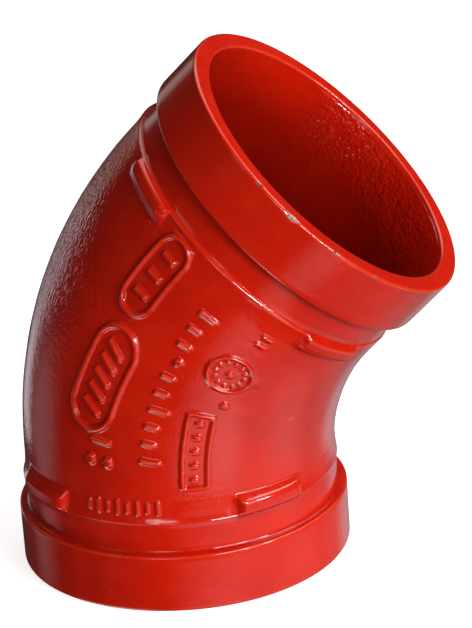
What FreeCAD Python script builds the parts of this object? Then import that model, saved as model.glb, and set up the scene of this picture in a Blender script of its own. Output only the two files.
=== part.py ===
import FreeCAD, Part
import math, os

# Grooved 45 degree elbow, nominal 80 mm (pipe outside diameter 88.9 mm). One iron casting.
# Millimetres. Origin at the centre of the lower end face, lower axis along +Z,
# the bend lies in the XZ plane and turns towards +X.

V = FreeCAD.Vector

# ---- driving dimensions ------------------------------------------------------
BEND_DEG = 45.0          # angle between the two ends
CENTRE_TO_END = 64.0     # from the crossing of the two axes to each end face
LAND_R = 44.45           # outside radius of each end (pipe outside diameter 88.9)
LAND_LEN = 15.6          # end face to groove
GROOVE_W = 8.3           # groove width
GROOVE_R = 42.0          # radius of the groove floor
STRAIGHT = 29.0          # straight length at each end before the arc starts
BORE_MOUTH_R = 39.45     # bore radius at each mouth
BORE_MOUTH_LEN = 10.0    # length of the straight mouth
BORE_R = 38.6            # bore radius through the bend (core taper ends here)
BORE_EDGE = 0.6          # rounding of the bore's edge at the face
FACE_EDGE = 0.7          # rounding of the outer edge at the face
SHOULDER_EDGE = 0.45     # rounding of the land's edge at the groove
FOOT_R = 0.6             # fillet at the bottom of the shoulder
LIP_LOW_R = 42.75        # crest of the lip on the body side of the lower groove
LIP_UP_R = 42.95         # the same at the upper groove
LIP_EDGE = 0.3
# outside radius of the body from the lower groove (first) to the upper groove (last),
# at even steps along the arc
BODY_R = [41.85, 42.0, 42.2, 42.4, 42.52, 42.57, 42.57, 42.54, 42.5]
STUB = 27.0              # where the turned end blends into the bent body
# raised stop pads beside each groove
PAD_CENTRES = [-43.0, -134.5, 43.0, 134.5]   # degrees about the end's own axis, 0 = inside of the bend
PAD_HALF_BASE = 14.0     # half angle at the body
PAD_HALF_CREST = 11.6    # half angle at the crest
PAD_CREST_R = 44.3
PAD_Z = (23.95, 25.0, 28.6, 30.2)            # base, crest, crest, base, from the end face
PAD_ROUND = 0.45
RELIEF_H = 0.85          # height of the raised marks over the body
RELIEF_LOW_H = 0.55      # height of the fainter marks

BEND = math.radians(BEND_DEG)
ARC_R = (CENTRE_TO_END - STRAIGHT) / math.tan(BEND / 2.0)
ARC_LEN = ARC_R * BEND
TOTAL = 2 * STRAIGHT + ARC_LEN
GROOVE_END = LAND_LEN + GROOVE_W
U = V(math.sin(BEND), 0, math.cos(BEND))                 # the way the upper end points
W_UP = V(math.cos(BEND), 0, -math.sin(BEND))             # towards the inside of the bend at the upper end
UP_FACE = V(0, 0, CENTRE_TO_END) + U * CENTRE_TO_END     # centre of the upper face


def station(s):
    """Centre, direction and inward direction of the centreline at distance s from the lower face."""
    if s <= STRAIGHT:
        return V(0, 0, s), V(0, 0, 1), V(1, 0, 0)
    if s >= TOTAL - STRAIGHT:
        return UP_FACE - U * (TOTAL - s), U, W_UP
    a = (s - STRAIGHT) / ARC_R
    c = V(ARC_R * (1 - math.cos(a)), 0, STRAIGHT + ARC_R * math.sin(a))
    return c, V(math.sin(a), 0, math.cos(a)), V(math.cos(a), 0, -math.sin(a))


def body_radius(s):
    """Outside radius of the body at distance s along the centreline."""
    t = min(1.0, max(0.0, (s - STRAIGHT) / ARC_LEN)) * (len(BODY_R) - 1)
    i = min(int(t), len(BODY_R) - 2)
    f = t - i
    return BODY_R[i] * (1 - f) + BODY_R[i + 1] * f


def rounded(points):
    """Closed XZ outline from (x, z, corner radius) points, as a face."""
    n = len(points)
    cut = []
    for i, (x, z, r) in enumerate(points):
        p = V(x, 0, z)
        if r <= 0:
            cut.append((p, None, p))
            continue
        a = V(points[i - 1][0], 0, points[i - 1][1]) - p
        b = V(points[(i + 1) % n][0], 0, points[(i + 1) % n][1]) - p
        a.normalize()
        b.normalize()
        half = a.getAngle(b) / 2.0
        d = r / math.tan(half)
        m = a + b
        m.normalize()
        mid = p + m * (r / math.sin(half) - r)
        cut.append((p + a * d, mid, p + b * d))
    edges = []
    for i in range(n):
        p0, mid, p1 = cut[i]
        if mid is not None:
            edges.append(Part.Arc(p0, mid, p1).toShape())
        q = cut[(i + 1) % n][0]
        if (q - p1).Length > 1e-6:
            edges.append(Part.LineSegment(p1, q).toShape())
    return Part.Face(Part.Wire(edges))


def end_outline(lip_r, body_r):
    """Outline of a turned end: land, shoulder, groove and lip, closed on the axis, from z = 0 to STUB."""
    outline = [
        (0, 0, 0),
        (LAND_R, 0, FACE_EDGE),
        (LAND_R, LAND_LEN, SHOULDER_EDGE),
        (GROOVE_R, LAND_LEN, FOOT_R),
        (GROOVE_R, GROOVE_END, 0.25),
        (lip_r, GROOVE_END, LIP_EDGE),
        (lip_r - 0.15, GROOVE_END + 0.7, 0),
        (body_r + 0.12, GROOVE_END + 2.0, 0),
        (body_r, STUB, 0),
        (0, STUB, 0),
    ]
    return rounded(outline)


def pad(centre_deg):
    """Stop pad with sloping walls on the body side of the groove."""
    z0, z1, z2, z3 = PAD_Z
    r0 = GROOVE_R - 1.6
    slope_in = (z3 - z2) / (PAD_CREST_R - GROOVE_R)
    section = Part.Face(Part.makePolygon([
        V(r0, 0, z0), V(GROOVE_R, 0, z0), V(PAD_CREST_R, 0, z1), V(PAD_CREST_R, 0, z2),
        V(r0, 0, z2 + slope_in * (PAD_CREST_R - r0)), V(r0, 0, z0)]))
    section.rotate(V(0, 0, 0), V(0, 0, 1), -PAD_HALF_BASE - 4)
    ring = section.revolve(V(0, 0, 0), V(0, 0, 1), 2 * (PAD_HALF_BASE + 4))
    hb = math.radians(PAD_HALF_BASE)
    hc = math.radians(PAD_HALF_CREST)
    xb, yb = GROOVE_R * math.cos(hb), GROOVE_R * math.sin(hb)
    xc, yc = PAD_CREST_R * math.cos(hc), PAD_CREST_R * math.sin(hc)
    k = (yb - yc) / (xc - xb)
    xi, xo = r0 - 4, PAD_CREST_R + 2
    yi, yo = yb + k * (xb - xi), yc - k * (xo - xc)
    wedge = Part.Face(Part.makePolygon([V(xi, -yi, 15), V(xo, -yo, 15), V(xo, yo, 15), V(xi, yi, 15), V(xi, -yi, 15)]))
    wedge = wedge.extrude(V(0, 0, 25))
    solid = ring.common(wedge)
    crest = [e for e in solid.Edges
             if all(abs(math.hypot(v.X, v.Y) - PAD_CREST_R) < 0.01 for v in e.Vertexes)]
    solid = solid.makeFillet(PAD_ROUND, crest)
    solid.rotate(V(0, 0, 0), V(0, 0, 1), centre_deg)
    return solid


def circle_wire(s, r):
    c, d, n = station(s)
    circ = Part.Circle(c, d, r)
    e = circ.toShape()
    return Part.Wire([e])


def bent_body(extra=0.0, s0=STUB, s1=None):
    """Bent body between the two turned ends, with its outside radius grown by extra."""
    s1 = TOTAL - s0 if s1 is None else s1
    stations = [s0, STRAIGHT]
    stations += [STRAIGHT + ARC_LEN * i / 12.0 for i in range(1, 12)]
    stations += [TOTAL - STRAIGHT, s1]
    return Part.makeLoft([circle_wire(s, body_radius(s) + extra) for s in stations], True, False)


def bore():
    """Waterway: a straight mouth and a taper at each end, and a bend of constant radius."""
    end = rounded([(0, -2, 0), (BORE_MOUTH_R + BORE_EDGE, -2, 0), (BORE_MOUTH_R + BORE_EDGE, 0, 0),
                   (BORE_MOUTH_R, BORE_EDGE, 0), (BORE_MOUTH_R, BORE_MOUTH_LEN, 0),
                   (BORE_R, STRAIGHT - 1.0, 0), (BORE_R, STRAIGHT, 0), (0, STRAIGHT, 0)])
    low = end.revolve(V(0, 0, 0), V(0, 0, 1), 360)
    up = upper_revolve(end)
    disc = Part.Face(Part.Wire([Part.Circle(V(0, 0, STRAIGHT), V(0, 0, 1), BORE_R).toShape()]))
    mid = disc.revolve(V(ARC_R, 0, STRAIGHT), V(0, 1, 0), BEND_DEG)
    return low.fuse([mid, up]).removeSplitter()


def upper_revolve(face):
    """Revolves an XZ outline, drawn with z measured from the end face, about the upper end's axis."""
    rot = FreeCAD.Placement(UP_FACE, FreeCAD.Rotation(V(0, 0, 1), -U))
    f = face.copy()
    f.Placement = rot.multiply(f.Placement)
    return f.revolve(UP_FACE, U, 360)


def upper_place(shape, centre_deg):
    """Turns a pad made at 0 degrees at the lower end to the upper end at centre_deg, 0 = inside of the bend."""
    # a half turn about Y carries +Z to -Z; a further turn brings the axis onto the upper end
    s = shape.copy()
    s.rotate(V(0, 0, 0), V(0, 0, 1), -(180.0 - centre_deg))
    s.rotate(V(0, 0, 0), V(0, 1, 0), 180.0 + BEND_DEG)
    s.translate(UP_FACE)
    return s


def frame_at(s, theta_deg):
    """Point on the body and its directions: along the pipe, around the pipe, outward."""
    c, d, n = station(s)
    t = math.radians(theta_deg)
    out = n * math.cos(t) + V(0, 1, 0) * math.sin(t)
    around = V(0, 1, 0) * math.cos(t) - n * math.sin(t)
    return c + out * body_radius(s), d, around, out


def prism(s, theta, face_points, holes=(), turn=0.0):
    """Column standing on the body from a flat outline of (along, around) points in mm."""
    p, d, a, out = frame_at(s, theta)
    t = math.radians(turn)
    e1 = d * math.cos(t) + a * math.sin(t)
    e2 = a * math.cos(t) - d * math.sin(t)

    def wire(pts):
        q = [p - out * 1.3 + e1 * x + e2 * y for x, y in pts]
        return Part.makePolygon(q + [q[0]])

    column = Part.Face(wire(face_points)).extrude(out * 4.0)
    if holes:
        column = column.cut([Part.Face(wire(h)).extrude(out * 4.0) for h in holes])
    return column


def bar_pts(length, width):
    h, w = length / 2.0, width / 2.0
    r = min(h, w) * 0.5
    pts = []
    for cx, cy, a0 in ((h - r, w - r, 0), (-h + r, w - r, 90), (-h + r, -w + r, 180), (h - r, -w + r, 270)):
        for k in range(3):
            a = math.radians(a0 + 45 * k)
            pts.append((cx + r * math.cos(a), cy + r * math.sin(a)))
    return pts


def stadium_pts(length, width, n=9):
    r = width / 2.0
    h = length / 2.0 - r
    pts = []
    for cx, a0 in ((h, -90), (-h, 90)):
        for k in range(n + 1):
            a = math.radians(a0 + 180.0 * k / n)
            pts.append((cx + r * math.cos(a), r * math.sin(a)))
    return pts


def disc_pts(r, n=24):
    return [(r * math.cos(2 * math.pi * k / n), r * math.sin(2 * math.pi * k / n)) for k in range(n)]


def move(pts, x, y, turn=0.0):
    t = math.radians(turn)
    return [(x + px * math.cos(t) - py * math.sin(t), y + px * math.sin(t) + py * math.cos(t)) for px, py in pts]


# ---- raised foundry marks, all plain shapes: (s, theta, outline, holes, turn, low) ---------
def marks():
    out = []
    # short rounded frame with three bars
    out.append((87.0, -110.8, stadium_pts(22.4, 10.6), [stadium_pts(19.8, 8.0)], 2.0, 0))
    for x in (-5.2, 0.0, 5.2):
        out.append((87.0, -110.8, move(bar_pts(1.5, 4.6), x, 0), [], 2.0, 0))
    # long rounded frame with five slanted bars
    out.append((59.6, -110.4, stadium_pts(27.6, 13.4), [stadium_pts(24.8, 10.6)], 7.0, 0))
    for x in (-7.6, -3.8, 0.0, 3.8, 7.6):
        out.append((59.6, -110.4, move(bar_pts(1.5, 6.2), x, 0, 24.0), [], 7.0, 0))
    # tally row along the pipe
    for i in range(10):
        if i == 6:
            out.append((42.0 + 5.1 * i, -87.4, disc_pts(1.25, 16), [], 0, 0))
        else:
            w = 5.6 if i % 3 == 0 else 4.0
            out.append((42.0 + 5.1 * i, -87.4 - (0 if i % 3 == 0 else 1.1), bar_pts(1.5, w), [], 0, 0))
    # dial with twelve ticks and a pointer
    out.append((75.6, -69.8, disc_pts(6.5, 32), [disc_pts(5.35, 32)], 0, 0))
    for k in range(12):
        a = 30.0 * k
        out.append((75.6, -69.8, move(bar_pts(1.3, 0.75), 4.1 * math.cos(math.radians(a)), 4.1 * math.sin(math.radians(a)), a), [], 0, 0))
    out.append((75.6, -69.8, disc_pts(1.1, 16), [], 0, 0))
    # cell grid with dots
    cells = [move(bar_pts(3.9, 5.4), x, 0) for x in (-10.0, -5.0, 0.0, 5.0, 10.0)]
    out.append((47.0, -72.0, bar_pts(26.4, 7.8), cells, -3.0, 0))
    for x, y in ((-10.0, 0.0), (-5.0, 1.1), (-5.0, -1.1), (5.0, 0.0), (10.0, 1.1), (10.0, -1.1)):
        out.append((47.0, -72.0, move(disc_pts(0.75, 12), x, y), [], -3.0, 0))
    # loose dots and bars
    out.append((39.6, -109.3, disc_pts(1.7, 16), [], 0, 0))
    out.append((39.6, -103.2, disc_pts(1.7, 16), [], 0, 0))
    out.append((44.6, -106.2, bar_pts(1.5, 6.0), [], 0, 0))
    out.append((64.6, -66.6, disc_pts(1.2, 16), [], 0, 0))
    out.append((89.4, -66.9, bar_pts(1.3, 3.6), [], 0, 0))
    out.append((92.6, -66.5, bar_pts(1.3, 3.6), [], 0, 0))
    # faint row beside the lower groove
    for i in range(8):
        out.append((28.4, -110.6 + 3.7 * i, bar_pts(4.2 if i % 2 else 3.0, 1.2), [], 0, 1))
    return out


low_stub = end_outline(LIP_LOW_R, BODY_R[0]).revolve(V(0, 0, 0), V(0, 0, 1), 360)
up_stub = upper_revolve(end_outline(LIP_UP_R, BODY_R[-1]))
body = bent_body()
print("body volume", body.Volume, body.isValid())

pads = []
for deg in PAD_CENTRES:
    pads.append(pad(deg))
    pads.append(upper_place(pad(0.0), deg))

columns_high, columns_low = [], []
for s, th, pts, holes, turn, low in marks():
    (columns_low if low else columns_high).append(prism(s, th, pts, holes, turn))
cover_high = bent_body(RELIEF_H, 25.0, TOTAL - 25.0)
cover_low = bent_body(RELIEF_LOW_H, 24.4, TOTAL - 24.4)
relief = cover_high.common(Part.makeCompound(columns_high)).Solids
relief += cover_low.common(Part.makeCompound(columns_low)).Solids
print("raised marks", len(relief), "of", len(columns_high) + len(columns_low))

elbow = low_stub.fuse([body, up_stub])
print("blank", elbow.Volume, len(elbow.Solids))
elbow = elbow.cut(bore())
print("hollow", elbow.Volume, len(elbow.Solids))
elbow = elbow.fuse(pads + relief)
solids = elbow.Solids
print("solids", len(solids), "valid", elbow.isValid(), "volume", elbow.Volume)
elbow = max(solids, key=lambda x: x.Volume)
print("centre of mass", elbow.CenterOfMass, "box", elbow.BoundBox)

os.makedirs("parts", exist_ok=True)
elbow.exportStep("parts/elbow_casting.step")
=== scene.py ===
import bpy, math
import numpy as np
from mathutils import Matrix, Vector, noise


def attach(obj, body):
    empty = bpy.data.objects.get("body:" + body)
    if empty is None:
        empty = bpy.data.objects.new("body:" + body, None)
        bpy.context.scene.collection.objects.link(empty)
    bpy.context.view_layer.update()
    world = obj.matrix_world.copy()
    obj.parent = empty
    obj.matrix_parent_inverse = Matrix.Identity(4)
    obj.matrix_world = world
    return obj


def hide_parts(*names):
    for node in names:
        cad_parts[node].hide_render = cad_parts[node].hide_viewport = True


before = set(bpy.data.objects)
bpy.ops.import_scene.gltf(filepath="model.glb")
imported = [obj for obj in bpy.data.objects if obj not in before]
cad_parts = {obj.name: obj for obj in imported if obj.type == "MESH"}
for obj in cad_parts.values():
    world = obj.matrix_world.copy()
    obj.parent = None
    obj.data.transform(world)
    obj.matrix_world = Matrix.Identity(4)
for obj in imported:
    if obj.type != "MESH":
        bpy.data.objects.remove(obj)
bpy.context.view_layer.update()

BODY = "root"
NODE = "elbow_casting"

# ---------------------------------------------------------------- dimensions, millimetres
CE, STRAIGHT, BEND = 64.0, 29.0, math.radians(45.0)
LAND_R, LAND_LEN, GROOVE_W, GROOVE_R = 44.45, 15.6, 8.3, 42.0
MOUTH_R, MOUTH_LEN, BORE_R = 39.45, 10.0, 38.6
FACE_EDGE, SHOULDER_EDGE, FOOT = 0.7, 0.5, 0.75
LIP_LOW, LIP_UP = 42.75, 42.95
BODY_R = np.array([41.85, 42.0, 42.2, 42.4, 42.52, 42.57, 42.57, 42.54, 42.5])
PAD_CENTRES = (-43.0, -134.5, 43.0, 134.5)
ARC_R = (CE - STRAIGHT) / math.tan(BEND / 2)
ARC_LEN = ARC_R * BEND
TOTAL = 2 * STRAIGHT + ARC_LEN
G0, G1 = LAND_LEN, LAND_LEN + GROOVE_W
SN, CS = math.sin(BEND), math.cos(BEND)
UP_FACE = np.array([CE * SN, 0.0, CE + CE * CS])
RELIEF_H = 0.85
RR = 42.4                                     # radius used to turn angles into lengths around the body


def smooth(a, b, x):
    t = np.clip((x - a) / (b - a), 0.0, 1.0)
    return t * t * (3 - 2 * t)


def smin(a, b, k):
    h = np.clip(0.5 + 0.5 * (b - a) / k, 0, 1)
    return b * (1 - h) + a * h - k * h * (1 - h)


def smax(a, b, k):
    return -smin(-a, -b, k)


def crest(x, length):
    return np.exp(-np.maximum(x, 0.0) / length) * (1 - smooth(4.0, 7.0, x))


def place(s, r, th):
    """Points at distance s along the centreline, radius r and angle th (radians, 0 = inside of the bend)."""
    s, r, th = np.broadcast_arrays(s, r, th)
    ph = np.clip((s - STRAIGHT) / ARC_R, 0, BEND)
    cx = ARC_R * (1 - np.cos(ph))
    cz = np.minimum(s, STRAIGHT) + ARC_R * np.sin(ph)
    over = np.maximum(s - (TOTAL - STRAIGHT), 0)
    cx = cx + over * SN
    cz = cz + over * CS
    k = r * np.cos(th)
    return np.stack([cx + k * np.cos(ph), r * np.sin(th), cz - k * np.sin(ph)], -1)


def inside(th, floor):
    """Share of the lip's height at th degrees: the lip dies out on the inside of the bend."""
    return floor + (1 - floor) * smooth(20.0, 46.0, np.abs(th))


def body_r(s, th):
    t = np.clip((s - STRAIGHT) / ARC_LEN, 0, 1)
    r = np.interp(t, np.linspace(0, 1, len(BODY_R)), BODY_R)
    lo = (LIP_LOW - BODY_R[0]) * crest(s - G1 - 0.3, 2.15) * inside(th, 0.45)
    hi = (LIP_UP - BODY_R[-1]) * crest(TOTAL - s - G1 - 0.75, 2.2) * inside(th, 0.1)
    return r + lo + hi


# ---------------------------------------------------------------- raised marks, all plain shapes
def sd_box(x, y, hx, hy, r):
    qx, qy = np.abs(x) - (hx - r), np.abs(y) - (hy - r)
    return np.hypot(np.maximum(qx, 0), np.maximum(qy, 0)) + np.minimum(np.maximum(qx, qy), 0) - r


def sd_stadium(x, y, length, width):
    h = (length - width) / 2
    return np.hypot(x - np.clip(x, -h, h), y) - width / 2


def sd_disc(x, y, r):
    return np.hypot(x, y) - r


def sd_ring(d, w):
    return np.abs(d + w / 2) - w / 2


def local(s, th, s0, th0, turn=0.0):
    x, y = s - s0, np.radians(th - th0) * RR
    t = math.radians(turn)
    return x * math.cos(t) + y * math.sin(t), y * math.cos(t) - x * math.sin(t)


def lift(d, edge=0.72):
    """Soft-edged plateau from a signed distance in mm."""
    t = np.clip(0.42 - d / edge, 0, 1)
    t = t * t * (3 - 2 * t)
    return t * (1.0 + 0.05 * np.clip(-d, 0, 1))


def marks(s, th):
    """Height in mm of the raised marks at s (mm) and th (degrees)."""
    out = np.zeros(np.broadcast(s, th).shape)

    def add(d, h=RELIEF_H):
        np.maximum(out, h * lift(d), out=out)

    x, y = local(s, th, 87.0, -110.8, 2.0)
    add(sd_ring(sd_stadium(x, y, 22.4, 10.6), 1.3))
    for cx in (-5.2, 0.0, 5.2):
        add(sd_box(x - cx, y, 0.75, 2.3, 0.6))
    x, y = local(s, th, 59.6, -110.4, 7.0)
    add(sd_ring(sd_stadium(x, y, 27.6, 13.4), 1.4))
    c, n = math.cos(math.radians(24)), math.sin(math.radians(24))
    for cx in (-7.6, -3.8, 0.0, 3.8, 7.6):
        u, v = (x - cx) * c + y * n, y * c - (x - cx) * n
        add(sd_box(u, v, 0.75, 3.1, 0.6))
    for i in range(10):
        x, y = local(s, th, 42.0 + 5.1 * i, -87.4 - (0 if i % 3 == 0 or i == 6 else 1.1))
        if i == 6:
            add(sd_disc(x, y, 1.25))
        else:
            add(sd_box(x, y, 0.75, 2.8 if i % 3 == 0 else 2.0, 0.6))
    x, y = local(s, th, 75.6, -69.8)
    add(sd_ring(sd_disc(x, y, 6.5), 1.15))
    add(sd_disc(x, y, 1.1))
    for k in range(12):
        a = math.radians(30 * k)
        u, v = x * math.cos(a) + y * math.sin(a) - 4.1, y * math.cos(a) - x * math.sin(a)
        add(sd_box(u, v, 0.65, 0.38, 0.3))
    x, y = local(s, th, 47.0, -72.0, -3.0)
    d = sd_box(x, y, 13.2, 3.9, 1.2)
    add(np.maximum(d, -sd_box(x, y, 12.0, 2.7, 0.6)))
    for cx in (-9.6, -4.8, 0.0, 4.8, 9.6):
        add(sd_disc(x - cx, y, 1.15))
    for s0, t0, r in ((39.6, -109.6, 1.4), (39.6, -102.9, 1.4), (64.6, -66.6, 1.2)):
        x, y = local(s, th, s0, t0)
        add(sd_disc(x, y, r))
    for s0, t0, hy in ((44.6, -106.2, 3.0), (89.4, -66.9, 1.8), (92.6, -66.5, 1.8)):
        x, y = local(s, th, s0, t0)
        add(sd_box(x, y, 0.75, hy, 0.6))
    for i in range(8):
        x, y = local(s, th, 28.4, -110.6 + 3.7 * i)
        add(sd_box(x, y, 2.1 if i % 2 else 1.5, 0.6, 0.5), 0.5)
    return out


def pads(sl, th):
    """Radius of the stop pads, sl measured from the nearer end face, th in degrees."""
    out = np.full(np.broadcast(sl, th).shape, 30.0)
    for c in PAD_CENTRES:
        a = np.abs(th - c)
        side = 42.0 + (14.0 - a) * (math.pi / 180 * RR) * (2.3 / 1.78)
        low = 42.0 + (sl - 23.75) * 1.9
        high = 44.3 - (sl - 28.05) * 1.04
        r = smin(smin(low, high, 0.5), smin(side, 44.3 + 0 * side, 0.5), 0.8)
        out = np.maximum(out, r)
    return out


# ---------------------------------------------------------------- rings of the closed surface
def arc(cs, cr, rad, a0, a1, n):
    a = np.radians(np.linspace(a0, a1, n))
    return [(cs + rad * math.cos(t), cr + rad * math.sin(t)) for t in a]


def end_profile(lip):
    """(distance from the face, radius) from the mouth's inner edge out to the lip."""
    p = [(0.75, MOUTH_R)] + arc(0.6, MOUTH_R + 0.6, 0.6, -90, -180, 5)
    p += [(0.0, r) for r in (40.8, 41.9, 43.0, 43.5)]
    p += arc(FACE_EDGE, LAND_R - FACE_EDGE, FACE_EDGE, 180, 90, 7)
    p += [(x, LAND_R) for x in (1.3, 2.6, 4.6, 7.0, 9.6, 12.0, 13.8)]
    p += arc(G0 - SHOULDER_EDGE, LAND_R - SHOULDER_EDGE, SHOULDER_EDGE, 90, 0, 6)
    p += [(G0, 43.3)]
    p += arc(G0 + FOOT, GROOVE_R + FOOT, FOOT, 180, 270, 6)
    p += [(x, GROOVE_R) for x in (17.3, 19.0, 20.8, 22.4)]
    p += arc(G1 - 0.1, GROOVE_R + 0.1, 0.1, -90, -20, 3)
    if lip == LIP_LOW:
        return p + arc(G1 + 0.3, lip - 0.3, 0.3, 172, 80, 7)
    # the upper lip: rounded foot, a nearly flat worn facet, rounded crest
    x, r = G1 + 0.02, lip - 0.64
    for a, step in ((172, 0.0), (162, 0.12), (148, 0.12), (136, 0.08), (131, 0.13), (128, 0.13), (125, 0.13), (118, 0.08), (106, 0.1), (96, 0.1)):
        x, r = x + step * math.sin(math.radians(a)), r - step * math.cos(math.radians(a))
        p.append((x, r))
    return p


def angles(*bands):
    """Sorted angles in degrees from -180 to 180 (left out) with bands (from, to, step), finest wins."""
    t, out = -180.0, []
    while t < 180.0 - 1e-9:
        out.append(round(t, 5))
        step = min([b[2] for b in bands if b[0] <= t + 1e-9 < b[1]])
        t += step
    if 180.0 - out[-1] < 0.35:
        out.pop()
    return np.array(out)


PADS_FINE = [(c + sgn * 12.9 - 1.7, c + sgn * 12.9 + 1.7, 0.55) for c in PAD_CENTRES for sgn in (-1, 1)]
ALL = (-180.0, 180.0)
A_END = angles(ALL + (2.0,))
A_EDGE = angles(ALL + (2.0,), (-112.0, -30.0, 0.5))
A_LOW = angles(ALL + (2.25,), (-115.0, -82.0, 0.42), *PADS_FINE)
A_UP = angles(ALL + (2.25,), *PADS_FINE)
A_MID = angles(ALL + (2.25,), (-121.5, -61.5, 0.4275))
A_BORE = angles(ALL + (2.25,))

rings = []      # (angles in degrees, s values, radii, kind) ; kind 0 end, 1 body, 2 bore


def ring(ang, s, r, kind):
    rings.append((ang, s, r, kind))


low = end_profile(LIP_LOW)
for s, r in low:
    ring(A_LOW if s > 23.5 else A_END, s, r, 0)
rows = [G1 + 0.45, G1 + 0.6, G1 + 0.75] + list(np.arange(G1 + 0.9, 31.0, 0.3))
rows += list(np.arange(31.0, 97.2, 0.318))
rows += list(np.arange(97.3 - 4.3, 0, 1))[:0]
up_rows = [TOTAL - d for d in np.arange(G1 + 0.9, 31.0, 0.3)][::-1]
rows = [x for x in rows if x < up_rows[0] - 0.15]
for s in rows:
    ring(A_LOW if s < 30.8 else A_MID, s, None, 1)
for s in up_rows:
    ring(A_MID if s < 97.4 else A_UP, s, None, 1)
for s, r in end_profile(LIP_UP)[::-1]:
    ring(A_UP if s > 23.5 else (A_EDGE if s < 1.2 and r > 43.2 else A_END), TOTAL - s, r, 0)
bore = [(1.5, MOUTH_R), (4.0, MOUTH_R), (7.5, MOUTH_R), (MOUTH_LEN, MOUTH_R)]
bore += [(x, MOUTH_R + (BORE_R - MOUTH_R) * (x - MOUTH_LEN) / (STRAIGHT - 1.0 - MOUTH_LEN)) for x in np.arange(12.0, 28.0, 2.0)]
for s, r in bore:
    ring(A_BORE, TOTAL - s, r, 2)
for s in np.linspace(TOTAL - 28.0, 28.0, 36):
    ring(A_BORE, s, BORE_R, 2)
for s, r in bore[::-1]:
    ring(A_BORE, s, r, 2)

CHIPS = (      # angle, half length along the edge, half width across it, depth, mm; tone 0 brown, 1 bare metal
    (-105.6, 1.1, 0.55, 0.16, 0.15), (-91.3, 2.1, 0.62, 0.2, 0.9), (-89.2, 0.8, 0.4, 0.12, 1.0), (-72.2, 0.75, 0.4, 0.1, 0.1),
    (-55.4, 0.6, 0.35, 0.08, 0.4), (-37.3, 0.5, 0.3, 0.08, 0.2),
)
EDGE_S, EDGE_R = TOTAL - 0.2, LAND_R - 0.2
ROUGH_SPOTS = (      # along the centreline, angle, size, extra roughness of the casting
    (93.0, -127.0, 4.5, 0.6), (30.0, -66.0, 6.0, 0.15), (88.0, -134.0, 6.0, 0.3), (52.0, -98.0, 9.0, 0.12),
)


def fbm(p, scale, octaves=2):
    return np.array([noise.fractal(Vector(v) * scale, 1.0, 2.0, octaves) for v in p])


verts, cast, bore_and_depth_shade, starts = [], [], [], []
for ang, s, r, kind in rings:
    th = np.radians(ang)
    if kind == 1:
        rad = body_r(s, ang) + np.zeros(len(ang))
        near = min(s, TOTAL - s)
        fade = float(smooth(G1 + 0.3, G1 + 3.0, near))
        p = place(s, rad, th)
        rough = 0.055 * fbm(p, 1 / 9.0, 2) + 0.012 * fbm(p + 50.0, 1 / 3.2, 2)
        lip = math.exp(-((near - G1 - 1.0) / 0.55) ** 2)
        rad = rad + rough * fade + 0.05 * lip * fbm(p + 90.0, 1 / 1.6, 2) + marks(s, ang)
        if near < 31.5:
            rad = smax(rad, pads(near, ang), 0.35)
        a = np.abs(ang)
        start = 102.0 + 36.0 * float(smooth(66.0, 100.0, s))
        level = 0.10 + (0.12 + 0.78 * float(smooth(50.0, 74.0, s))) * smooth(start, start + 36.0, a) - 0.04 * (1 - smooth(20.0, 60.0, a))
        for s0, t0, size, more in ROUGH_SPOTS:
            far = np.hypot(s - s0, np.radians(ang - t0) * RR) / size
            level = level + more * np.exp(-far * far)
        cast.append(fade * level)
        bore_and_depth_shade.append(np.zeros(len(ang)))
    elif kind == 2:
        near = min(s, TOTAL - s)
        p = place(s, r, th)
        fade = float(smooth(0.5, 2.0, near))
        side = 0.35 + 0.65 * np.exp(-((ang - 75.0) / 60.0) ** 2)
        rad = r + fade * side * (0.10 * fbm(p, 1 / 7.0, 3))
        cast.append(fade * (0.07 + 0.93 * smooth(5.0, 35.0, ang) * (1.0 - smooth(93.0, 114.0, ang)) * (1.0 - 0.85 * float(smooth(7.0, 28.0, near)))))
        # bore mask that grows with depth: it selects the bore's bump and darkens the bore's colour as painted shade
        bore_and_depth_shade.append(np.full(len(ang), 0.35 + 0.55 * float(smooth(1.0, 20.0, near)) + 0.25 * float(smooth(16.0, 46.0, near))))
    else:
        rad = np.full(len(ang), float(r))
        near = min(s, TOTAL - s)
        if near > G1 - 0.3:
            top, body, floor = (LIP_LOW, BODY_R[0], 0.45) if s < CE else (LIP_UP, BODY_R[-1], 0.1)
            share = (body + (top - body) * inside(ang, floor) - GROOVE_R) / (top - GROOVE_R)
            rad = GROOVE_R + (r - GROOVE_R) * share
            rad = smax(rad, pads(near, ang), 0.2)
        cast.append(np.zeros(len(ang)))
        bore_and_depth_shade.append(np.zeros(len(ang)))
    v = place(s, rad, th)
    if ang is A_EDGE:
        c0 = place(EDGE_S - 1.1, EDGE_R - 1.1, th)
        for a0, hl, hw, depth, tone in CHIPS:
            cc = place(EDGE_S, EDGE_R, math.radians(a0))
            along = (np.radians(ang - a0) * LAND_R) / hl
            across = np.linalg.norm(v - place(EDGE_S, EDGE_R, th), axis=1) / hw
            m = np.clip(1.1 - np.hypot(along, across), 0, 1)
            jag = 0.75 + 0.5 * np.array([noise.noise(Vector(q) * 1.4) for q in v])
            inward = (c0 - v) / np.linalg.norm(c0 - v, axis=1)[:, None]
            v = v + inward * (depth * np.minimum(1, m * 3.0) * jag * (m > 0))[:, None]
    starts.append(sum(len(x) for x in verts))
    verts.append(v)

faces = []


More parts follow.
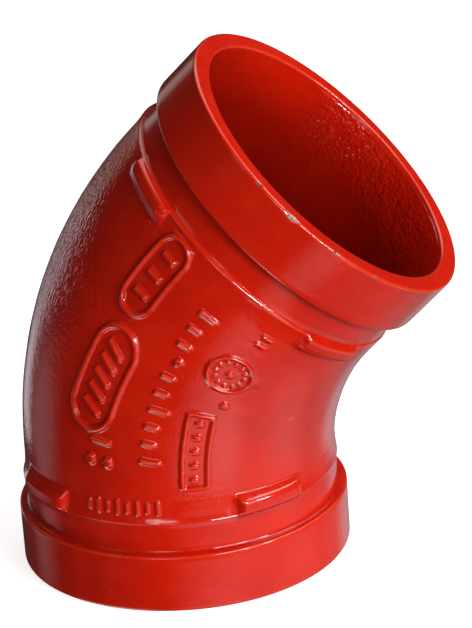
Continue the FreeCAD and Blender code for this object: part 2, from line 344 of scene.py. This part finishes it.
def stitch(i, j):
    a, b = rings[i][0], rings[j][0]
    sa, sb, na, nb = starts[i], starts[j], len(a), len(b)
    if na == nb and np.array_equal(a, b):
        for k in range(na):
            faces.append((sa + k, sb + k, sb + (k + 1) % nb, sa + (k + 1) % na))
        return
    a2, b2 = np.append(a, 180.0), np.append(b, 180.0)
    p = q = 0
    while p < na or q < nb:
        x = a2[p + 1] if p < na else 1e9
        y = b2[q + 1] if q < nb else 1e9
        if abs(x - y) < 1e-6:
            faces.append((sa + p, sb + q, sb + (q + 1) % nb, sa + (p + 1) % na))
            p, q = p + 1, q + 1
        elif x < y:
            faces.append((sa + p, sb + q % nb, sa + (p + 1) % na))
            p += 1
        else:
            faces.append((sa + p % na, sb + q, sb + (q + 1) % nb))
            q += 1


for i in range(len(rings)):
    stitch(i, (i + 1) % len(rings))

V = np.concatenate(verts) * 0.001
mesh = bpy.data.meshes.new("elbow_skin")
mesh.from_pydata(V.tolist(), [], faces)
mesh.update()
# the "bore" attribute marks the bore and, growing with depth, carries its painted shade
for name, data in (("cast", cast), ("bore", bore_and_depth_shade)):
    at = mesh.attributes.new(name, "FLOAT", "POINT")
    at.data.foreach_set("value", np.concatenate(data).astype(np.float32))
mesh.polygons.foreach_set("use_smooth", [True] * len(mesh.polygons))
tri = np.array([(f[0], f[k], f[k + 1]) for f in faces for k in range(1, len(f) - 1)])
vol = float(np.einsum("ij,ij->i", V[tri[:, 0]], np.cross(V[tri[:, 1]], V[tri[:, 2]])).sum() / 6)
if vol < 0:
    mesh.flip_normals()
print("rings", len(rings), "faces", len(faces), "triangles", len(tri), "volume cm3", round(abs(vol) * 1e6, 2))
ea = np.empty(len(mesh.edges) * 2, np.int32)
mesh.edges.foreach_get("vertices", ea)
ea = ea.reshape(-1, 2)
vn = np.empty(len(V) * 3, np.float32)
mesh.vertices.foreach_get("normal", vn)
vn = vn.reshape(-1, 3).astype(float)
step = (V[ea[:, 0]] - V[ea[:, 1]]) * 1000
size2 = np.maximum((step ** 2).sum(1), 0.02)
count = np.bincount(ea.ravel(), minlength=len(V))
bend = np.zeros(len(V))
np.add.at(bend, ea[:, 0], 2 * (vn[ea[:, 0]] * step).sum(1) / size2)
np.add.at(bend, ea[:, 1], -2 * (vn[ea[:, 1]] * step).sum(1) / size2)
bend = bend / count
for _ in range(2):
    near_sum = np.zeros(len(V))
    np.add.at(near_sum, ea[:, 0], bend[ea[:, 1]])
    np.add.at(near_sum, ea[:, 1], bend[ea[:, 0]])
    bend = 0.5 * bend + 0.5 * near_sum / count
at = mesh.attributes.new("bend", "FLOAT", "POINT")
at.data.foreach_set("value", np.clip(bend, -1.5, 1.5).astype(np.float32))
skin = bpy.data.objects.new("elbow_skin", mesh)
bpy.context.scene.collection.objects.link(skin)


# ---------------------------------------------------------------- materials
class Nodes:
    def __init__(self, mat):
        mat.use_nodes = True
        self.t = mat.node_tree
        self.t.nodes.clear()

    def new(self, kind, **kw):
        n = self.t.nodes.new(kind)
        for k, v in kw.items():
            if k in n.inputs:
                self.put(n.inputs[k], v)
            else:
                setattr(n, k, v)
        return n

    def put(self, sock, v):
        if isinstance(v, bpy.types.NodeSocket):
            self.t.links.new(v, sock)
        else:
            sock.default_value = v

    def math(self, op, a, b=None, c=None, clamp=False):
        n = self.t.nodes.new("ShaderNodeMath")
        n.operation, n.use_clamp = op, clamp
        for k, v in enumerate((a, b, c)):
            if v is not None:
                self.put(n.inputs[k], v)
        return n.outputs[0]

    def noise(self, vec, scale, detail=2.0, rough=0.5, dist=0.0):
        n = self.t.nodes.new("ShaderNodeTexNoise")
        self.put(n.inputs["Vector"], vec)
        n.inputs["Scale"].default_value = scale
        n.inputs["Detail"].default_value = detail
        n.inputs["Roughness"].default_value = rough
        n.inputs["Distortion"].default_value = dist
        return n.outputs["Fac"]

    def range(self, v, a, b, c=0.0, d=1.0, smoothstep=True):
        n = self.t.nodes.new("ShaderNodeMapRange")
        n.interpolation_type = "SMOOTHSTEP" if smoothstep else "LINEAR"
        n.clamp = True
        self.put(n.inputs["Value"], v)
        for k, x in zip(("From Min", "From Max", "To Min", "To Max"), (a, b, c, d)):
            self.put(n.inputs[k], x)
        return n.outputs[0]

    def mix(self, fac, a, b, blend="MIX"):
        n = self.t.nodes.new("ShaderNodeMix")
        n.data_type, n.blend_type = "RGBA", blend
        self.put(n.inputs[0], fac)
        for sock, v in ((n.inputs[6], a), (n.inputs[7], b)):
            self.put(sock, v)
        return n.outputs[2]

    def attr(self, name):
        n = self.t.nodes.new("ShaderNodeAttribute")
        n.attribute_type, n.attribute_name = "GEOMETRY", name
        return n.outputs["Fac"]


def red_paint():
    mat = bpy.data.materials.new("red_enamel")
    n = Nodes(mat)
    co = n.new("ShaderNodeTexCoord").outputs["Object"]
    cast_m, bore_and_depth_shade_m = n.attr("cast"), n.attr("bore")
    broad = n.noise(co, 28.0, 3.0, 0.55)
    mid = n.noise(co, 120.0, 3.0, 0.6)
    # paint: slightly uneven film
    deep, main, warm = (0.61, 0.010, 0.0012, 1), (0.73, 0.0138, 0.0016, 1), (0.80, 0.025, 0.0035, 1)
    col = n.mix(n.range(broad, 0.3, 0.7), deep, main)
    col = n.mix(n.math("MULTIPLY", n.range(mid, 0.45, 0.75), 0.35), col, warm)
    bend_m = n.attr("bend")
    # lighter on convex edges: paint worn thin there, and partly a painted highlight
    edge = n.math("MULTIPLY", n.range(bend_m, 0.12, 0.9), n.range(n.noise(co, 700.0, 3.0, 0.6), 0.3, 0.7, 0.35, 1.0))
    col = n.mix(n.math("MULTIPLY", edge, 0.55), col, (0.85, 0.060, 0.014, 1))
    # darker in concave corners and creases: painted shade
    col = n.mix(n.range(bend_m, -0.10, -0.7, 0.0, 0.6), col, (0.42, 0.006, 0.001, 1))
    # darker deeper in the bore: painted shade
    col = n.mix(n.range(bore_and_depth_shade_m, 0.35, 1.15, 0.0, 1.0, False), col, (0.14, 0.0016, 0.0004, 1))
    # chips and wear along the upper mouth's outer edge
    chip = 0.0
    tone = 0.0
    jag = n.math("MULTIPLY", n.math("SUBTRACT", n.noise(co, 1500.0, 3.0, 0.6), 0.5), 1.5)
    for a0, hl, hw, depth, tn in CHIPS:
        cc = place(EDGE_S, EDGE_R, math.radians(a0)) * 0.001
        ahead = place(EDGE_S, EDGE_R, math.radians(a0 + 0.5)) * 0.001 - cc
        quat = Vector(ahead).to_track_quat("X", "Z").to_euler()
        mp = n.t.nodes.new("ShaderNodeMapping")
        mp.vector_type = "TEXTURE"
        n.put(mp.inputs["Vector"], co)
        mp.inputs["Location"].default_value = cc.tolist()
        mp.inputs["Rotation"].default_value = quat
        mp.inputs["Scale"].default_value = (hl * 0.001, hw * 0.001, hw * 0.001)
        ln = n.t.nodes.new("ShaderNodeVectorMath")
        ln.operation = "LENGTH"
        n.put(ln.inputs[0], mp.outputs[0])
        m = n.range(n.math("ADD", ln.outputs["Value"], jag), 1.05, 0.85)
        chip = n.math("MAXIMUM", chip, m)
        tone = n.math("MAXIMUM", tone, n.math("MULTIPLY", m, tn))
    # a short scratch in the paint on the right of the body; its lighter colour is partly a painted highlight of the
    # nick
    here, ahead = place(60.8, 42.5, math.radians(-38.2)) * 0.001, place(61.2, 42.5, math.radians(-37.4)) * 0.001
    mp = n.t.nodes.new("ShaderNodeMapping")
    mp.vector_type = "TEXTURE"
    n.put(mp.inputs["Vector"], co)
    mp.inputs["Location"].default_value = here.tolist()
    mp.inputs["Rotation"].default_value = Vector(ahead - here).to_track_quat("X", "Z").to_euler()
    mp.inputs["Scale"].default_value = (0.0007, 0.0003, 0.0003)
    ln = n.t.nodes.new("ShaderNodeVectorMath")
    ln.operation = "LENGTH"
    n.put(ln.inputs[0], mp.outputs[0])
    col = n.mix(n.range(n.math("ADD", ln.outputs["Value"], n.math("MULTIPLY", jag, 0.5)), 1.1, 0.7, 0.0, 0.75), col, (0.82, 0.16, 0.10, 1))
    metal = n.mix(n.range(n.noise(co, 2200.0, 2.0, 0.6), 0.35, 0.65), (0.16, 0.12, 0.09, 1), (0.52, 0.48, 0.42, 1))
    rust = n.mix(n.range(n.noise(co, 1700.0, 2.0, 0.6), 0.35, 0.65), (0.10, 0.035, 0.015, 1), (0.24, 0.11, 0.05, 1))
    bare = n.mix(n.range(tone, 0.2, 0.7), rust, metal)
    col = n.mix(chip, col, bare)
    # roughness
    rough = n.math("ADD", n.range(mid, 0.3, 0.8, 0.24, 0.34), n.math("MULTIPLY", cast_m, 0.04))
    rough = n.mix(chip, rough, (0.5, 0.5, 0.5, 1))
    # bump: paint film over the casting
    bsdf = n.new("ShaderNodeBsdfPrincipled")
    grain = n.t.nodes.new("ShaderNodeMapping")      # grains drawn out along the body
    grain.vector_type = "TEXTURE"
    n.put(grain.inputs["Vector"], co)
    grain.inputs["Rotation"].default_value = (0.0, math.radians(24.0), 0.0)
    grain.inputs["Scale"].default_value = (1.0, 1.0, 1.9)
    peel = n.math("ADD", n.math("MULTIPLY", n.noise(co, 420.0, 2.0, 0.5), 0.00006), n.math("MULTIPLY", n.noise(grain.outputs[0], 1250.0, 1.5, 0.6), 0.00036))
    coarse = n.math("ADD", n.math("MULTIPLY", n.noise(co, 260.0, 2.0, 0.5, 0.4), 0.00055), n.math("MULTIPLY", n.noise(co, 950.0, 1.0, 0.5), 0.00042))
    turned = n.math("ADD", n.math("MULTIPLY", n.noise(co, 500.0, 2.0, 0.5), 0.00003), n.math("MULTIPLY", broad, 0.00003))
    skin_h = n.math("MULTIPLY", cast_m, n.math("ADD", n.math("MULTIPLY", peel, n.range(bore_and_depth_shade_m, 0.0, 0.3, 1.0, 0.0)), n.math("MULTIPLY", coarse, n.range(bore_and_depth_shade_m, 0.0, 0.3))))
    height = n.math("ADD", skin_h, turned)
    bump = n.t.nodes.new("ShaderNodeBump")
    bump.inputs["Strength"].default_value = 1.0
    bump.inputs["Distance"].default_value = 1.0
    n.put(bump.inputs["Height"], height)
    n.put(bsdf.inputs["Base Color"], col)
    n.put(bsdf.inputs["Roughness"], rough)
    n.put(bsdf.inputs["Normal"], bump.outputs[0])
    n.put(bsdf.inputs["Coat Normal"], bump.outputs[0])
    bsdf.inputs["IOR"].default_value = 1.5
    bsdf.inputs["Specular IOR Level"].default_value = 0.10
    bsdf.inputs["Coat Weight"].default_value = 1.0
    bsdf.inputs["Coat Roughness"].default_value = 0.05
    bsdf.inputs["Coat IOR"].default_value = 1.6
    out = n.t.nodes.new("ShaderNodeOutputMaterial")
    n.t.links.new(bsdf.outputs[0], out.inputs["Surface"])
    return mat


skin.data.materials.append(red_paint())
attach(skin, BODY)
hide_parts(NODE)

# ---------------------------------------------------------------- floor and backdrop
def stage_material(name, tone, glow):
    mat = bpy.data.materials.new(name)
    n = Nodes(mat)
    co = n.new("ShaderNodeTexCoord").outputs["Object"]
    b = n.new("ShaderNodeBsdfPrincipled")
    lo, hi = tone - 0.02, tone + 0.02
    n.put(b.inputs["Base Color"], n.mix(n.range(n.noise(co, 3.0, 2.0), 0.3, 0.7), (lo, lo, lo, 1), (hi, hi, hi, 1)))
    b.inputs["Roughness"].default_value = 0.9
    b.inputs["Specular IOR Level"].default_value = 0.0
    b.inputs["Emission Color"].default_value = (1, 1, 1, 1)
    b.inputs["Emission Strength"].default_value = glow
    o = n.t.nodes.new("ShaderNodeOutputMaterial")
    n.t.links.new(b.outputs[0], o.inputs["Surface"])
    mat.cycles.emission_sampling = "NONE"
    return mat


def stage_object(name, points, polys, mat):
    me = bpy.data.meshes.new(name)
    me.from_pydata(points, [], polys)
    me.materials.append(mat)
    ob = bpy.data.objects.new(name, me)
    bpy.context.scene.collection.objects.link(ob)
    # a light table: it shows behind the part, and the lamps alone light the part
    ob.visible_diffuse = ob.visible_glossy = ob.visible_transmission = ob.visible_shadow = False
    return ob


W = 6.0
stage_object("floor", [(-W, -W, 0), (W, -W, 0), (W, W, 0), (-W, W, 0)], [(0, 1, 2, 3)], stage_material("floor_white", 0.8, 0.74))
stage_object("backdrop", [(-W, -W, -W), (W, -W, -W), (W, W, -W), (-W, W, -W), (-W, -W, W), (W, -W, W), (W, W, W), (-W, W, W)],
             [(0, 1, 2, 3), (7, 6, 5, 4), (4, 5, 1, 0), (5, 6, 2, 1), (6, 7, 3, 2), (7, 4, 0, 3)], stage_material("backdrop_white", 0.8, 0.9))

# ---------------------------------------------------------------- light
scene = bpy.context.scene
scene.view_settings.view_transform = "Standard"
world = bpy.data.worlds.new("studio")
scene.world = world
world.use_nodes = True
bg = world.node_tree.nodes["Background"]
bg.inputs["Color"].default_value = (1, 1, 1, 1)
bg.inputs["Strength"].default_value = 0.02
AIM = Vector((0.016, 0.0, 0.065))


def lamp(name, az, el, wide, high, glow, dist=2.0, turn=0.0, color=(1, 1, 1), soft=True):
    """Soft box seen from the part at az (0 = in front, 90 = right) and el degrees, wide x high degrees, of even brightness glow."""
    a, e = math.radians(az), math.radians(el)
    d = Vector((math.sin(a) * math.cos(e), -math.cos(a) * math.cos(e), math.sin(e)))
    l = bpy.data.lights.new(name, "AREA")
    l.shape = "RECTANGLE"
    l.size = 2 * dist * math.tan(math.radians(wide) / 2)
    l.size_y = 2 * dist * math.tan(math.radians(high) / 2)
    l.energy = math.pi * l.size * l.size_y * glow * 1.38
    l.color = color
    if soft:
        # brightness falls off smoothly towards the edge of the box
        l.use_nodes = True
        nt = l.node_tree
        em = [x for x in nt.nodes if x.type == "EMISSION"][0]
        geo = nt.nodes.new("ShaderNodeNewGeometry")
        sub = nt.nodes.new("ShaderNodeVectorMath")
        sub.operation = "SUBTRACT"
        nt.links.new(geo.outputs["Parametric"], sub.inputs[0])
        sub.inputs[1].default_value = (0.5, 0.5, 0.0)
        ln = nt.nodes.new("ShaderNodeVectorMath")
        ln.operation = "LENGTH"
        nt.links.new(sub.outputs["Vector"], ln.inputs[0])
        mr = nt.nodes.new("ShaderNodeMapRange")
        mr.interpolation_type = "SMOOTHSTEP"
        for k, x in (("From Min", 0.5), ("From Max", 0.12), ("To Min", 0.0), ("To Max", 2.2)):
            mr.inputs[k].default_value = x
        nt.links.new(ln.outputs["Value"], mr.inputs["Value"])
        nt.links.new(mr.outputs[0], em.inputs["Strength"])
    ob = bpy.data.objects.new(name, l)
    ob.location = AIM + d * dist
    ob.rotation_euler = ((-d).to_track_quat("-Z", "Y").to_matrix() @ Matrix.Rotation(math.radians(turn), 3, "Z")).to_euler()
    ob.visible_camera = False
    scene.collection.objects.link(ob)
    return ob


lamp("key", 53, 16, 7, 9, 39.5, soft=False)
lamp("key_right", 70, 17, 8, 8, 23.0, soft=False)
lamp("key_left", 40, 19, 13, 8, 19.0, soft=False)
lamp("key_wide", 58, 3, 34, 56, 0.66, turn=-25)
lamp("front", -2, 6, 32, 22, 1.4)
lamp("high_right", 104, 48, 40, 32, 1.9)
lamp("low_right", 72, -40, 90, 70, 0.15)
lamp("low_far", 130, -44, 90, 80, 0.08)
lamp("low_mid", 29, -38, 60, 33, 0.22)
lamp("low_gap", 30, -12, 46, 24, 0.13)
lamp("high_mid", 76, 46, 26, 16, 1.5)
lamp("low_front", -50, -52, 58, 26, 1.35)
lamp("back_left", -134, -11, 18, 23, 0.56, color=(0.96, 0.92, 1.0), soft=False)
lamp("back_low", -103, -18, 42, 30, 0.1, color=(0.96, 0.92, 1.0))
lamp("back_edge", -139, 4, 22, 24, 0.16, color=(1.0, 0.90, 0.80))
lamp("back_right", 169, -29, 52, 32, 0.11, color=(0.96, 0.93, 1.0))
lamp("high_left", -40, 26, 34, 34, 0.2, color=(1.0, 0.82, 0.6))
lamp("rear_fill", 178, 58, 100, 64, 0.5)

# ---------------------------------------------------------------- camera
cam = bpy.data.cameras.new("camera")
cam.sensor_width = 36.0
cam.sensor_fit = "AUTO"
cam.lens = 175.164
cam.clip_start, cam.clip_end = 0.05, 20.0
cob = bpy.data.objects.new("camera", cam)
R2 = Vector((0.97553461, 0.20964945, -0.06617657))
U2 = Vector((-0.01662695, 0.37050908, 0.92868001))
D2 = R2.cross(U2)
m = Matrix((R2, U2, D2)).transposed().to_4x4()
m.translation = Vector((0.195110997, -0.73078648, 0.36076454))
cob.matrix_world = m
scene.collection.objects.link(cob)
scene.camera = cob
